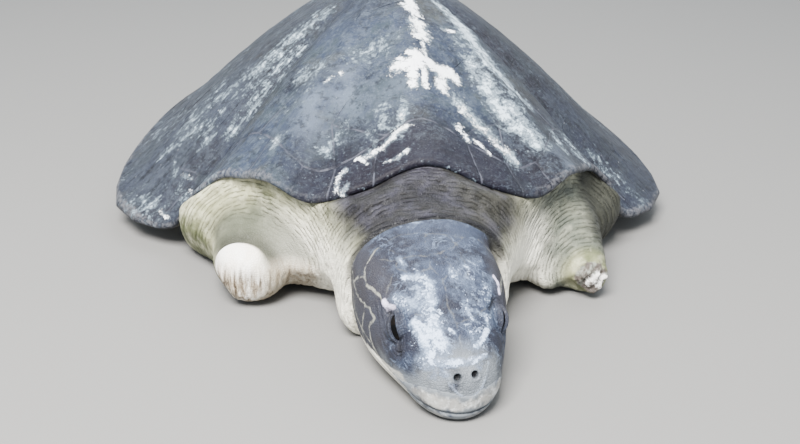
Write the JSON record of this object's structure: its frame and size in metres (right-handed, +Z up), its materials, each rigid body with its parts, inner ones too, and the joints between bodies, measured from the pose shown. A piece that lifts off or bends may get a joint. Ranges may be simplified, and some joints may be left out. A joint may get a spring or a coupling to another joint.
{
  "type": "sea turtle",
  "caption": "Life-size olive ridley sea turtle resting on its plastron with its chin on the floor, a grey high-domed shell and healed fore flipper stumps.",
  "frame": {"origin": "centre of the flat underside of the plastron, on the floor", "axes": "+Z up, +Y towards the tail, so the head faces -Y and the turtle's left is +X"},
  "size_m": [0.6314, 0.928, 0.2691],
  "materials": {
    "shell": "dry slate-grey horn with chalky pale patches",
    "plastron": "cream-coloured horn",
    "skin": "wrinkled grey and greenish-cream skin",
    "head_skin": "blue-grey scaled skin",
    "beak": "pale worn horn",
    "eye": "dark, wet"
  },
  "bodies": {
    "root": {"bridge_left": "plastron", "bridge_right": "plastron", "costal_left_1": "shell", "costal_left_2": "shell", "costal_left_3": "shell", "costal_left_4": "shell", "costal_left_5": "shell", "costal_left_6": "shell", "costal_right_1": "shell", "costal_right_2": "shell", "costal_right_3": "shell", "costal_right_4": "shell", "costal_right_5": "shell", "costal_right_6": "shell", "eye_left": "eye", "eye_right": "eye", "front_flipper_left": "skin", "front_flipper_right": "skin", "head": "head_skin", "hind_flipper_left": "skin", "hind_flipper_right": "skin", "lower_jaw": "head_skin", "marginal_left_1": "shell", "marginal_left_10": "shell", "marginal_left_11": "shell", "marginal_left_12": "shell", "marginal_left_2": "shell", "marginal_left_3": "shell", "marginal_left_4": "shell", "marginal_left_5": "shell", "marginal_left_6": "shell", "marginal_left_7": "shell", "marginal_left_8": "shell", "marginal_left_9": "shell", "marginal_right_1": "shell", "marginal_right_10": "shell", "marginal_right_11": "shell", "marginal_right_12": "shell", "marginal_right_2": "shell", "marginal_right_3": "shell", "marginal_right_4": "shell", "marginal_right_5": "shell", "marginal_right_6": "shell", "marginal_right_7": "shell", "marginal_right_8": "shell", "marginal_right_9": "shell", "neck": "skin", "nuchal": "shell", "plastron": "plastron", "tail": "skin", "trunk": "skin", "upper_beak": "beak", "vertebral_1": "shell", "vertebral_2": "shell", "vertebral_3": "shell", "vertebral_4": "shell", "vertebral_5": "shell", "vertebral_6": "shell"}
  },
  "joints": []
}
